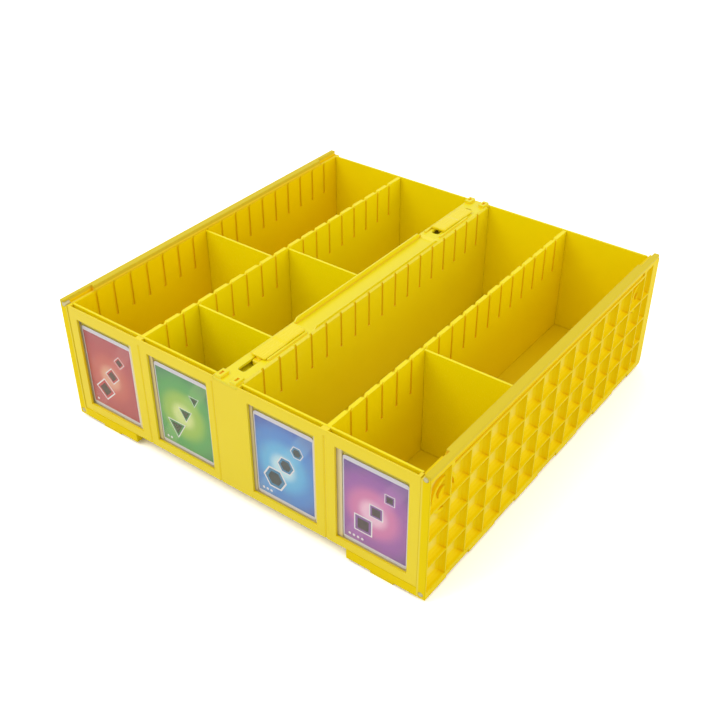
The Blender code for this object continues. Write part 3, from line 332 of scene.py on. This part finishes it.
    def texture_skin(
        self, tree: Tree, shader: bpy.types.Node, place: Socket, rounded: Socket, scuffs: Socket,
    ) -> None:
        """Give the shader its roughness and its normal, with ripples and grain.

        Args:
            tree: the material's tree.
            shader: the Principled node.
            place: a surface point's place.
            rounded: the normal with rounded edges.
            scuffs: the share of scuffing.
        """
        grain = add(tree, "ShaderNodeTexNoise", {
            "Vector": place, "Scale": per_metre(self.grain_mm), "Detail": FINE_DETAIL,
        }).outputs[0]
        ripple = add(tree, "ShaderNodeTexNoise", {
            "Vector": place, "Scale": per_metre(self.ripple_mm), "Detail": PLAIN_DETAIL,
        }).outputs[0]
        skin = add(tree, "ShaderNodeMapRange", {
            "Value": grain,
            "To Min": self.roughness - self.roughness_spread,
            "To Max": self.roughness + self.roughness_spread,
        }).outputs[0]
        rough = add(tree, "ShaderNodeMath", {0: skin, 1: scuffs}, operation="ADD").outputs[0]
        tree.links.new(rough, shader.inputs["Roughness"])
        soft = add(tree, "ShaderNodeBump", {
            "Height": ripple, "Distance": self.ripple_depth_mm * MILLIMETRE, "Normal": rounded,
        }).outputs[0]
        fine = add(tree, "ShaderNodeBump", {
            "Height": grain, "Distance": self.grain_depth_mm * MILLIMETRE, "Normal": soft,
        }).outputs[0]
        tree.links.new(fine, shader.inputs["Normal"])


@dataclass(frozen=True)
class CastNylon:
    """Natural nylon rod, cut off flat: milky cream, with a waxy sheen and faint cut rings."""

    name: str = "natural_nylon"
    base: str = "#DDD3A0"
    deep: str = "#CDBF80"
    roughness: float = 0.42
    ior: float = 1.53
    mottle_mm: float = 1.2
    ring_mm: float = 0.5
    ring_depth_mm: float = 0.02

    def material(self) -> bpy.types.Material:
        """Build the node material."""
        material, tree, shader = new_material(self.name)
        place = own_place(tree)
        mottle = add(tree, "ShaderNodeTexNoise", {
            "Vector": place, "Scale": per_metre(self.mottle_mm), "Detail": SOFT_DETAIL,
        }).outputs[0]
        ramp = add(tree, "ShaderNodeValToRGB", {"Fac": mottle})
        ramp.color_ramp.elements[0].color = linear(self.base)
        ramp.color_ramp.elements[1].color = linear(self.deep)
        tree.links.new(ramp.outputs[0], shader.inputs["Base Color"])
        rings = add(tree, "ShaderNodeTexNoise", {
            "Vector": place, "Scale": per_metre(self.ring_mm), "Detail": PLAIN_DETAIL,
        }).outputs[0]
        bump = add(tree, "ShaderNodeBump", {
            "Height": rings, "Distance": self.ring_depth_mm * MILLIMETRE,
        })
        tree.links.new(bump.outputs[0], shader.inputs["Normal"])
        shader.inputs["Roughness"].default_value = self.roughness
        shader.inputs["IOR"].default_value = self.ior
        return material


@dataclass(frozen=True)
class RigidVinyl:
    """Clear rigid vinyl sheet, welded along its sides and bottom.

    The sheet is clear with a very slight milky haze. The welded border is less clear. It and a
    strip of sheet beside it are painted warm cream, which stands in for the lit yellow wall
    behind, seen through them.
    """

    name: str
    low: tuple[float, float, float]
    high: tuple[float, float, float]
    side_border_mm: float = 6.2
    bottom_border_mm: float = 3.4
    # Painted show-through: warm cream for the lit yellow wall seen through the border.
    painted_show_through: str = "#FBEBB4"
    clear_alpha: float = 0.05
    border_alpha: float = 0.85
    roughness: float = 0.14
    haze_mm: float = 8.0
    ior: float = 1.54

    def material(self) -> bpy.types.Material:
        """Build the node material."""
        material, tree, shader = new_material(self.name)
        low, high = Vector(self.low), Vector(self.high)
        place = own_place(tree, (low + high) / 2)
        parts = add(tree, "ShaderNodeSeparateXYZ", {0: place}).outputs
        across = add(tree, "ShaderNodeMath", {0: parts["X"]}, operation="ABSOLUTE").outputs[0]
        at_side = add(tree, "ShaderNodeMath", {
            0: across, 1: (high.x - low.x) / 2 - self.side_border_mm * MILLIMETRE,
        }, operation="GREATER_THAN").outputs[0]
        at_bottom = add(tree, "ShaderNodeMath", {
            0: parts["Z"], 1: self.bottom_border_mm * MILLIMETRE - (high.z - low.z) / 2,
        }, operation="LESS_THAN").outputs[0]
        # The side and bottom strips, wider than the weld, are painted opaque cream.
        painted_border_mask = add(tree, "ShaderNodeMath", {
            0: at_side, 1: at_bottom,
        }, operation="MAXIMUM").outputs[0]
        haze = add(tree, "ShaderNodeTexNoise", {
            "Vector": place, "Scale": per_metre(self.haze_mm), "Detail": FINE_DETAIL,
        }).outputs[0]
        sheet = add(tree, "ShaderNodeMath", {
            0: haze, 1: self.clear_alpha, 2: self.clear_alpha / 2,
        }, operation="MULTIPLY_ADD").outputs[0]
        alpha = add(tree, "ShaderNodeMath", {
            0: painted_border_mask, 1: self.border_alpha - self.clear_alpha, 2: sheet,
        }, operation="MULTIPLY_ADD").outputs[0]
        tree.links.new(alpha, shader.inputs["Alpha"])
        shader.inputs["Base Color"].default_value = linear(self.painted_show_through)
        shader.inputs["Roughness"].default_value = self.roughness
        shader.inputs["IOR"].default_value = self.ior
        return material


@dataclass(frozen=True)
class PrintedBoard:
    """Coated card, printed with a bright field inside a white border, under a light varnish.

    The field glows from one place, darker and deeper in colour towards its corners, and a pale
    sash crosses it at a slope.
    """

    name: str
    low: tuple[float, float, float]
    high: tuple[float, float, float]
    field: tuple[str, str, str, str]
    sash: str
    glow_place: tuple[float, float]
    paper: str = "#E0DEEC"
    side_border_mm: float = 1.2
    top_border_mm: float = 4.2
    bottom_border_mm: float = 3.4
    sash_half_mm: float = 9.0
    sash_edge_mm: float = 3.0
    sash_share: float = 0.22
    sash_slope_deg: float = 58.0
    glow_reach_mm: float = 52.0
    glow_stops: tuple[float, ...] = (0.12, 0.34, 0.62, 1.0)
    speckle_mm: float = 0.5
    speckle_share: float = 0.06
    roughness: float = 0.3
    ior: float = 1.5

    def material(self) -> bpy.types.Material:
        """Build the node material."""
        material, tree, shader = new_material(self.name)
        low, high = Vector(self.low), Vector(self.high)
        drop = (self.bottom_border_mm - self.top_border_mm) / 2 * MILLIMETRE
        place = own_place(tree, (low + high) / 2 + Vector((0.0, 0.0, drop)))
        printed = add(tree, "ShaderNodeMix", {
            "Factor": self.in_field(tree, place, high - low), "A": linear(self.paper),
            "B": self.artwork(tree, place),
        }, data_type="RGBA").outputs["Result"]
        speckle = add(tree, "ShaderNodeTexNoise", {
            "Vector": place, "Scale": per_metre(self.speckle_mm), "Detail": SOFT_DETAIL,
        }).outputs[0]
        faded = add(tree, "ShaderNodeMath", {
            0: speckle, 1: self.speckle_share,
        }, operation="MULTIPLY").outputs[0]
        board = add(tree, "ShaderNodeMix", {
            "Factor": faded, "A": printed, "B": linear(self.paper),
        }, data_type="RGBA").outputs["Result"]
        tree.links.new(board, shader.inputs["Base Color"])
        shader.inputs["Roughness"].default_value = self.roughness
        shader.inputs["IOR"].default_value = self.ior
        return material

    def in_field(self, tree: Tree, place: Socket, size: Vector) -> Socket:
        """Give 1 inside the borders and 0 on them.

        Args:
            tree: the material's tree.
            place: a surface point's place, from the field's middle.
            size: the card's size.

        Returns:
            The factor output.
        """
        half_borders = (self.top_border_mm + self.bottom_border_mm) / 2 * MILLIMETRE
        away_from_middle = add(tree, "ShaderNodeVectorMath", {0: place}, operation="ABSOLUTE")
        parts = add(tree, "ShaderNodeSeparateXYZ", {0: away_from_middle.outputs[0]}).outputs
        in_side = add(tree, "ShaderNodeMath", {
            0: parts["X"], 1: size.x / 2 - self.side_border_mm * MILLIMETRE,
        }, operation="LESS_THAN").outputs[0]
        in_end = add(tree, "ShaderNodeMath", {
            0: parts["Z"], 1: size.z / 2 - half_borders,
        }, operation="LESS_THAN").outputs[0]
        return add(tree, "ShaderNodeMath", {
            0: in_side, 1: in_end,
        }, operation="MINIMUM").outputs[0]

    def artwork(self, tree: Tree, place: Socket) -> Socket:
        """Give the glowing field's colour, with the sash across it.

        Args:
            tree: the material's tree.
            place: a surface point's place, from the field's middle.

        Returns:
            The colour output.
        """
        glow_centre = Vector((self.glow_place[0], 0.0, self.glow_place[1]))
        away = add(tree, "ShaderNodeVectorMath", {
            0: place, 1: glow_centre,
        }, operation="DISTANCE").outputs["Value"]
        reach = add(tree, "ShaderNodeMath", {
            0: away, 1: self.glow_reach_mm * MILLIMETRE,
        }, operation="DIVIDE").outputs[0]
        ramp = add(tree, "ShaderNodeValToRGB", {"Fac": reach})
        ramp.color_ramp.interpolation = "EASE"
        stops = ramp.color_ramp.elements
        while len(stops) < len(self.field):
            stops.new(1.0)
        for stop, share, code in zip(stops, self.glow_stops, self.field):
            stop.position = share
            stop.color = linear(code)

        slope = math.radians(self.sash_slope_deg)
        across_sash = add(tree, "ShaderNodeVectorMath", {
            0: place, 1: Vector((-math.sin(slope), 0.0, math.cos(slope))),
        }, operation="DOT_PRODUCT").outputs["Value"]
        from_sash = add(tree, "ShaderNodeMath", {
            0: across_sash,
        }, operation="ABSOLUTE").outputs[0]
        on_sash = add(tree, "ShaderNodeMapRange", {
            "Value": from_sash,
            "From Min": (self.sash_half_mm - self.sash_edge_mm) * MILLIMETRE,
            "From Max": self.sash_half_mm * MILLIMETRE,
            "To Min": self.sash_share, "To Max": 0.0,
        }).outputs[0]
        return add(tree, "ShaderNodeMix", {
            "Factor": on_sash, "A": ramp.outputs[0], "B": linear(self.sash),
        }, data_type="RGBA").outputs["Result"]


@dataclass(frozen=True)
class ScreenInk:
    """A thick screen-printed ink: flat colour with a soft gloss and a faint mesh pattern."""

    name: str
    base: str
    roughness: float = 0.3
    mesh_mm: float = 0.7
    mesh_depth_mm: float = 0.01
    ior: float = 1.5

    def material(self) -> bpy.types.Material:
        """Build the node material."""
        material, tree, shader = new_material(self.name)
        mesh = add(tree, "ShaderNodeTexNoise", {
            "Vector": own_place(tree), "Scale": per_metre(self.mesh_mm), "Detail": PLAIN_DETAIL,
        }).outputs[0]
        bump = add(tree, "ShaderNodeBump", {
            "Height": mesh, "Distance": self.mesh_depth_mm * MILLIMETRE,
        })
        tree.links.new(bump.outputs[0], shader.inputs["Normal"])
        shader.inputs["Base Color"].default_value = linear(self.base)
        shader.inputs["Roughness"].default_value = self.roughness
        shader.inputs["IOR"].default_value = self.ior
        return material


def dress(node: str, material: bpy.types.Material) -> None:
    """Give a node of the frame its finish.

    Args:
        node: the node's name.
        material: the finish that its material slots take.
    """
    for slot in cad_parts[node].material_slots:
        slot.material = material
    LOG.info("dressed %s in %s", node, material.name)


@dataclass
class Tub:
    """The bin's fixed mouldings: side panels, floor, end walls, row walls and spine."""

    side_nodes: tuple[str, ...] = ("left_side_panel", "right_side_panel")
    outer_nodes: tuple[str, ...] = ("base_floor", "front_window_panel")
    deck_nodes: tuple[str, ...] = ("centre_spine",)
    inner_nodes: tuple[str, ...] = (
        "front_inner_wall", "rear_wall", "left_row_wall", "right_row_wall",
    )
    pin_nodes: tuple[str, ...] = (
        "upper_left_pin", "lower_left_pin", "upper_right_pin", "lower_right_pin",
    )
    # Side panels: painted shade in pockets, painted edge highlight, painted reflection on pocket
    # floors.
    side_finish: MouldedStyrene = MouldedStyrene(
        "side_styrene", base="#FCE002", cloud="#F8D800", edge_mm=1.4, gloss=0.04, roughness=0.34,
        edge="#FFE628", painted_highlight_share=0.5, crevice_mm=9.0, painted_shade_share=0.5, rail_share=1.0,
        painted_reflection_share=0.4,
    )
    outer_finish: MouldedStyrene = MouldedStyrene("outer_styrene")
    deck_finish: MouldedStyrene = MouldedStyrene(
        "deck_styrene", base="#F8E80C", cloud="#F4E206", edge="#FFF25C",
    )
    # A brighter copy of the plastic: painted light that lifts the shade inside the rows.
    inner_finish: MouldedStyrene = MouldedStyrene(
        "inner_styrene", base="#FFEE00", cloud="#FCE600", gloss=0.25,
    )

    def build(self) -> None:
        """Dress the mouldings and the pins."""
        groups = (
            (self.side_nodes, self.side_finish), (self.outer_nodes, self.outer_finish),
            (self.deck_nodes, self.deck_finish), (self.inner_nodes, self.inner_finish),
            (self.pin_nodes, CastNylon()),
        )
        for nodes, finish in groups:
            material = finish.material()
            for node in nodes:
                dress(node, material)


@dataclass
class Dividers:
    """The lift-out dividers, moulded smoother than the tub."""

    count: int = 4
    # Brighter than the tub's plastic: painted light that lifts the shade on the dividers.
    finish: MouldedStyrene = MouldedStyrene(
        "divider_styrene", base="#FFF200", cloud="#FCEA00", roughness=0.26, grain_depth_mm=0.006,
        gloss=0.3,
    )

    def build(self) -> None:
        """Dress each divider."""
        material = self.finish.material()
        for number in range(1, self.count + 1):
            dress(f"divider_{number}", material)


@dataclass
class Latches:
    """The two sliders on the deck, rubbed smooth by the thumb."""

    nodes: tuple[str, ...] = ("front_latch_slider", "rear_latch_slider")
    finish: MouldedStyrene = MouldedStyrene(
        "slider_styrene", base="#FCE60C", cloud="#F9E004", roughness=0.26, edge_mm=0.9,
        scuff_share=0.04,
    )

    def build(self) -> None:
        """Dress each slider."""
        material = self.finish.material()
        for node in self.nodes:
            dress(node, material)


class Mark(Enum):
    """The shape of a label's printed marks: its number of sides and its turn in degrees."""

    LOZENGE = (4, 0.0)
    TRIANGLE = (3, 90.0)
    HEXAGON = (6, 0.0)
    SQUARE = (4, 45.0)

    @property
    def sides(self) -> int:
        """The number of sides."""
        return self.value[0]

    @property
    def turn(self) -> float:
        """The mark's turn about the card's normal, in radians."""
        return math.radians(self.value[1])


def mark_row_tree() -> Tree:
    """Build the Geometry Nodes tree that lays thin plates in a row on a card's face.

    Returns:
        The tree. Its inputs are the row's start and step, the count, and each plate's number of
        sides, radius, thickness, turn, share of the last plate's size, and material.
    """
    tree = bpy.data.node_groups.new("mark_row", "GeometryNodeTree")
    sockets = (
        ("Start", "NodeSocketVector"), ("Step", "NodeSocketVector"), ("Count", "NodeSocketInt"),
        ("Sides", "NodeSocketInt"), ("Radius", "NodeSocketFloat"),
        ("Thickness", "NodeSocketFloat"), ("Turn", "NodeSocketFloat"),
        ("Size Share", "NodeSocketFloat"), ("Material", "NodeSocketMaterial"),
    )
    for name, kind in sockets:
        tree.interface.new_socket(name, in_out="INPUT", socket_type=kind)
    tree.interface.new_socket("Geometry", in_out="OUTPUT", socket_type="NodeSocketGeometry")
    given = add(tree, "NodeGroupInput").outputs
    line = add(tree, "GeometryNodeMeshLine", {
        "Count": given["Count"], "Start Location": given["Start"], "Offset": given["Step"],
    }, mode="OFFSET")
    plate = add(tree, "GeometryNodeMeshCylinder", {
        "Vertices": given["Sides"], "Radius": given["Radius"], "Depth": given["Thickness"],
    }, fill_type="NGON")
    spin = add(tree, "ShaderNodeCombineXYZ", {"X": math.pi / 2, "Y": given["Turn"]})
    turned = add(tree, "GeometryNodeTransform", {
        "Geometry": plate.outputs["Mesh"], "Rotation": spin.outputs[0],
    })
    place_in_row = add(tree, "GeometryNodeInputIndex").outputs[0]
    size = add(tree, "ShaderNodeMath", {
        0: given["Size Share"], 1: place_in_row,
    }, operation="POWER").outputs[0]
    scale = add(tree, "ShaderNodeCombineXYZ", {"X": size, "Y": 1.0, "Z": size})
    laid = add(tree, "GeometryNodeInstanceOnPoints", {
        "Points": line.outputs["Mesh"], "Instance": turned.outputs[0], "Scale": scale.outputs[0],
    })
    real = add(tree, "GeometryNodeRealizeInstances", {"Geometry": laid.outputs[0]})
    dressed = add(tree, "GeometryNodeSetMaterial", {
        "Geometry": real.outputs[0], "Material": given["Material"],
    })
    add(tree, "NodeGroupOutput", {"Geometry": dressed.outputs[0]})
    return tree


@dataclass
class WindowLabel:
    """A printed card in its clear sleeve, behind one of the windows.

    Its print is a glowing field with a row of marks that climbs across it and gets smaller, and
    as many pips as the row's number.
    """

    number: int
    mark: Mark
    field: tuple[str, str, str, str]
    sash: str
    band_ink: str
    face_ink: str
    rim_ink: str = "#F1EDF2"
    mark_radius: float = 0.0128
    band_share: float = 0.86
    face_share: float = 0.60
    mark_count: int = 3
    mark_size_share: float = 0.74
    first_mark: tuple[float, float] = (-0.0115, -0.0202)
    mark_step: float = 0.0238
    slope_deg: float = 58.0
    glow_place: tuple[float, float] = (-0.0020, -0.0030)
    pip_radius: float = 0.0013
    pip_step: float = 0.0042
    pip_place: tuple[float, float] = (0.0065, 0.0078)
    print_thickness: float = 0.00004

    def build(self, tree: Tree) -> None:
        """Dress the card and the sleeve, and print the marks.

        Args:
            tree: the Geometry Nodes tree that lays the marks.
        """
        card = f"label_card_{self.number}"
        low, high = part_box(card)
        board = PrintedBoard(
            f"printed_board_{self.number}", tuple(low), tuple(high), self.field, self.sash,
            self.glow_place, sash_slope_deg=self.slope_deg,
        )
        dress(card, board.material())
        sleeve = f"label_sleeve_{self.number}"
        sleeve_low, sleeve_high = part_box(sleeve)
        vinyl = RigidVinyl(f"rigid_vinyl_{self.number}", tuple(sleeve_low), tuple(sleeve_high))
        dress(sleeve, vinyl.material())

        rim = ScreenInk(f"rim_ink_{self.number}", self.rim_ink).material()
        band = ScreenInk(f"band_ink_{self.number}", self.band_ink).material()
        face = ScreenInk(f"face_ink_{self.number}", self.face_ink).material()
        slope = math.radians(self.slope_deg)
        step = Vector((math.cos(slope), 0.0, math.sin(slope))) * self.mark_step
        across, up = self.first_mark
        start = Vector((
            (low[0] + high[0]) / 2 + across, low[1] - self.print_thickness / 2,
            (low[2] + high[2]) / 2 + up,
        ))
        lift = Vector((0.0, -self.print_thickness, 0.0))
        layers = (
            ("mark_rim", 1.0, rim), ("mark_band", self.band_share, band),
            ("mark_face", self.face_share, face),
        )
        for layer, (name, share, ink) in enumerate(layers):
            self.lay(tree, name, start + lift * layer, step, self.mark_count, self.mark.sides,
                     self.mark_radius * share, self.mark_size_share, ink)
        pips = Vector((low[0] + self.pip_place[0], start.y, low[2] + self.pip_place[1]))
        self.lay(tree, "row_pips", pips, Vector((self.pip_step, 0.0, 0.0)), self.number,
                 ROUND_SIDES, self.pip_radius, 1.0, rim)

    def lay(
        self, tree: Tree, name: str, start: Vector, step: Vector, count: int,
        sides: int, radius: float, size_share: float, material: bpy.types.Material,
    ) -> None:
        """Lay one row of printed marks and let it move with the card.

        Args:
            tree: the Geometry Nodes tree that lays the marks.
            name: the start of the piece's name.
            start: the first mark's centre.
            step: the way from one mark to the next.
            count: the number of marks.
            sides: the number of sides of a mark.
            radius: the first mark's radius.
            size_share: each mark's size as a share of the last one's.
            material: the ink.
        """
        full_name = f"{name}_{self.number}"
        base = bpy.data.objects.new(full_name + "_base", bpy.data.meshes.new(full_name))
        bpy.context.scene.collection.objects.link(base)
        modifier = base.modifiers.new("marks", "NODES")
        modifier.node_group = tree
        values = {
            "Start": start, "Step": step, "Count": count, "Sides": sides, "Radius": radius,
            "Thickness": self.print_thickness, "Turn": self.mark.turn, "Size Share": size_share,
            "Material": material,
        }
        for item in tree.interface.items_tree:
            if item.in_out == "INPUT":
                value = values[item.name]
                modifier[item.identifier] = tuple(value) if isinstance(value, Vector) else value
        solid = base.evaluated_get(bpy.context.evaluated_depsgraph_get())
        mesh = bpy.data.meshes.new_from_object(solid)
        bpy.data.objects.remove(base, do_unlink=True)
        piece = bpy.data.objects.new(full_name, mesh)
        bpy.context.scene.collection.objects.link(piece)
        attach(piece, f"label_card_{self.number}")
        LOG.info("printed %s", full_name)


@dataclass(frozen=True)
class SoftLight:
    """A square area light that faces the bin: its centre, its sides' length and its watts."""

    name: str
    place: tuple[float, float, float]
    size: float
    power: float

    def hang(self) -> None:
        """Put the light in the scene."""
        data = bpy.data.lights.new(self.name, "AREA")
        data.size = self.size
        data.energy = self.power
        light = bpy.data.objects.new(self.name, data)
        light.location = self.place
        light.rotation_mode = "QUATERNION"
        light.rotation_quaternion = (-Vector(self.place)).to_track_quat("-Z", "Y")
        bpy.context.scene.collection.objects.link(light)
        LOG.info("hung %s", self.name)


@dataclass
class Studio:
    """A plain white floor, soft lights and the camera."""

    floor_size: float = 9.0
    floor_drop: float = 0.0002
    floor_colour: str = "#FFFFFF"
    floor_lift: float = 1.75
    bounce_colour: str = "#E4E4E4"
    world_strength: float = 0.74
    camera_place: tuple[float, float, float] = (0.4950, -0.6808, 0.6408)
    camera_yaw_deg: float = 36.666
    camera_pitch_deg: float = 35.715
    image_pixels: float = 720.0
    focal_pixels: float = 1047.8
    sensor_width_mm: float = 36.0
    lights: tuple[SoftLight, ...] = (
        SoftLight("key_light", (-1.4, -1.6, 2.6), 2.2, 31.0),
        SoftLight("side_light", (2.4, 1.2, 0.9), 2.0, 18.5),
    )

    def build(self) -> None:
        """Set up the camera, the floor, the lights and the background."""
        self.place_camera()
        self.lay_floor()
        self.light_world()
        for light in self.lights:
            light.hang()
        bpy.context.scene.view_settings.view_transform = "Standard"

    def place_camera(self) -> None:
        """Put the camera at the photograph's viewing angle."""
        data = bpy.data.cameras.new("camera")
        data.sensor_width = self.sensor_width_mm
        data.lens = self.focal_pixels / self.image_pixels * self.sensor_width_mm
        camera = bpy.data.objects.new("camera", data)
        camera.location = self.camera_place
        down = math.radians(90.0 - self.camera_pitch_deg)
        camera.rotation_euler = Euler((down, 0.0, math.radians(self.camera_yaw_deg)))
        bpy.context.scene.collection.objects.link(camera)
        bpy.context.scene.camera = camera
        LOG.info("placed camera")

    def lay_floor(self) -> None:
        """Lay the floor just under the feet, a little darker to light that bounces off it.

        To the camera alone it is lifted past white, so that only the deeper part of the bin's
        shadow shows.
        """
        mesh = bpy.data.meshes.new("floor")
        half = self.floor_size / 2
        corners = [(-half, -half), (half, -half), (half, half), (-half, half)]
        mesh.from_pydata([(x, y, -self.floor_drop) for x, y in corners], [], [(0, 1, 2, 3)])
        floor = bpy.data.objects.new("floor", mesh)
        bpy.context.scene.collection.objects.link(floor)
        material = bpy.data.materials.new("painted_floor")
        material.use_nodes = True
        tree = material.node_tree
        tree.nodes.clear()
        seen = self.seen_directly(tree)
        to_camera = add(tree, "ShaderNodeLightPath").outputs["Is Camera Ray"]
        white = add(tree, "ShaderNodeMix", {
            "Factor": to_camera, "A": linear(self.floor_colour),
            "B": Vector(linear(self.floor_colour)) * self.floor_lift,
        }, data_type="RGBA").outputs["Result"]
        colour = add(tree, "ShaderNodeMix", {
            "Factor": seen, "A": linear(self.bounce_colour), "B": white,
        }, data_type="RGBA").outputs["Result"]
        shader = add(tree, "ShaderNodeBsdfDiffuse", {"Color": colour})
        add(tree, "ShaderNodeOutputMaterial", {"Surface": shader.outputs[0]})
        mesh.materials.append(material)
        LOG.info("laid floor")

    @staticmethod
    def seen_directly(tree: Tree) -> Socket:
        """Give 1 for camera, glossy and transmission rays, and 0 for the rest.

        Args:
            tree: the tree that reads the light path.

        Returns:
            The factor's output.
        """
        path = add(tree, "ShaderNodeLightPath").outputs
        seen = add(tree, "ShaderNodeMath", {
            0: path["Is Camera Ray"], 1: path["Is Glossy Ray"],
        }, operation="MAXIMUM").outputs[0]
        return add(tree, "ShaderNodeMath", {
            0: seen, 1: path["Is Transmission Ray"],
        }, operation="MAXIMUM").outputs[0]

    def light_world(self) -> None:
        """Light the scene evenly from all round, and keep the background white."""
        world = bpy.data.worlds.new("studio")
        world.use_nodes = True
        tree = world.node_tree
        tree.nodes.clear()
        seen = self.seen_directly(tree)
        strength = add(tree, "ShaderNodeMath", {
            0: seen, 1: 1.0 - self.world_strength, 2: self.world_strength,
        }, operation="MULTIPLY_ADD").outputs[0]
        background = add(tree, "ShaderNodeBackground", {
            "Color": linear(self.floor_colour), "Strength": strength,
        })
        add(tree, "ShaderNodeOutputWorld", {"Surface": background.outputs[0]})
        bpy.context.scene.world = world
        LOG.info("lit world")


LABELS = (
    WindowLabel(
        1, Mark.LOZENGE, ("#EEB090", "#D25A54", "#BE3C50", "#AE3252"), "#DC8888",
        "#CC4450", "#47282E",
    ),
    WindowLabel(
        2, Mark.TRIANGLE, ("#E4F09C", "#A0CC48", "#44AC54", "#2C8458"), "#B4E084",
        "#3C9450", "#223C2C",
    ),
    WindowLabel(
        3, Mark.HEXAGON, ("#CFF2FF", "#58BEF2", "#3C8EE0", "#3C5CBC"), "#9CDCFA",
        "#2E86B8", "#203A50",
    ),
    WindowLabel(
        4, Mark.SQUARE, ("#FFD0E8", "#DC78B8", "#A052B4", "#64409C"), "#D898D6",
        "#8C58A8", "#3A2C44",
    ),
)


def main() -> None:
    """Build the sub-assemblies in order."""
    logging.basicConfig(level=logging.INFO, format="%(name)s: %(message)s")
    Studio().build()
    Tub().build()
    Dividers().build()
    Latches().build()
    tree = mark_row_tree()
    for label in LABELS:
        label.build(tree)


if __name__ == "__main__":
    main()
